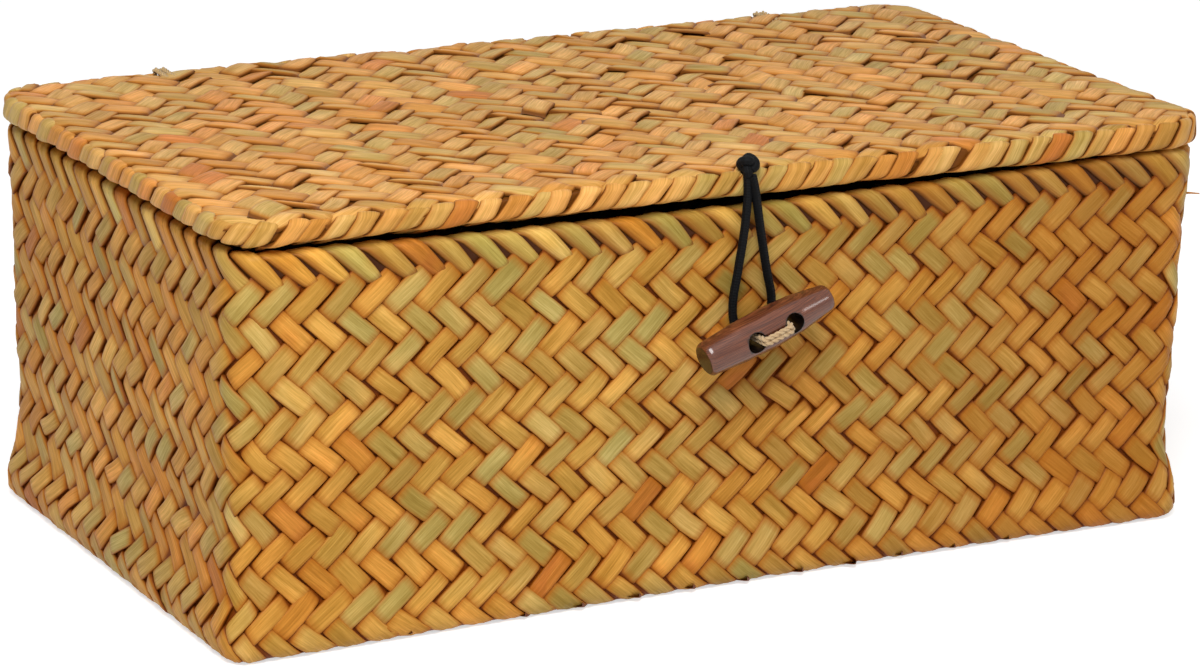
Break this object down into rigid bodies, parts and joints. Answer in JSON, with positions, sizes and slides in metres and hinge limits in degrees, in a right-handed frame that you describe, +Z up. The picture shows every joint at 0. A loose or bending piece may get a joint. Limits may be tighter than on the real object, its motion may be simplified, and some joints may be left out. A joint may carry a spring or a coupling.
{
  "type": "woven lidded box",
  "caption": "Rectangular seagrass box, double-walled and twill-woven, with a tied-on hinged lid shut by an elastic loop over a wooden toggle.",
  "frame": {"origin": "middle of the base's underside", "axes": "+X to the right along the long side, -Y towards the front with the toggle, +Z up"},
  "size_m": [0.304, 0.1863, 0.1249],
  "materials": {
    "seagrass": "split seagrass strips in olive, golden tan and rust, satin",
    "lining_seagrass": "split seagrass strips, plainer and duller, satin",
    "straw": "bundled dry straw, matt",
    "split_bamboo": "flat split bamboo, bare",
    "varnished_wood": "dark reddish brown turned wood, varnished",
    "jute": "two-strand jute twine, undyed, matt",
    "elastic": "braided elastic cord, black, matt"
  },
  "bodies": {
    "box": {"outer_weave": "seagrass", "inner_weave": "lining_seagrass", "rim_fold": "seagrass", "rim_hoop": "split_bamboo"},
    "lid": {"lid_top_weave": "seagrass", "lid_under_weave": "lining_seagrass", "lid_rim_wrap": "seagrass", "lid_rim_core": "straw", "closure_knot": "elastic", "hinge_tie_left": "jute", "hinge_knot_left": "jute", "hinge_tie_right": "jute", "hinge_knot_right": "jute"},
    "toggle": {"toggle": "varnished_wood", "toggle_tie": "jute", "toggle_tie_knot": "jute"},
    "loop": {"closure_loop": "elastic"}
  },
  "joints": [
    {"name": "lid_hinge", "type": "hinge", "parent": "box", "child": "lid", "pos_m": [0, 0.082, 0.11065], "axis": [-1, 0, 0], "range_deg": [0, 110], "deforming": ["hinge_tie_left", "hinge_tie_right"]},
    {"name": "toggle_turn", "type": "hinge", "parent": "box", "child": "toggle", "pos_m": [0.0017, -0.08, 0.0779], "axis": [0, 1, 0], "range_deg": [-90, 90]},
    {"name": "loop_swing", "type": "hinge", "parent": "lid", "child": "loop", "pos_m": [-0.0015, -0.0835, 0.1182], "axis": [-1, 0, 0], "range_deg": [0, 100], "deforming": ["closure_loop"]}
  ]
}
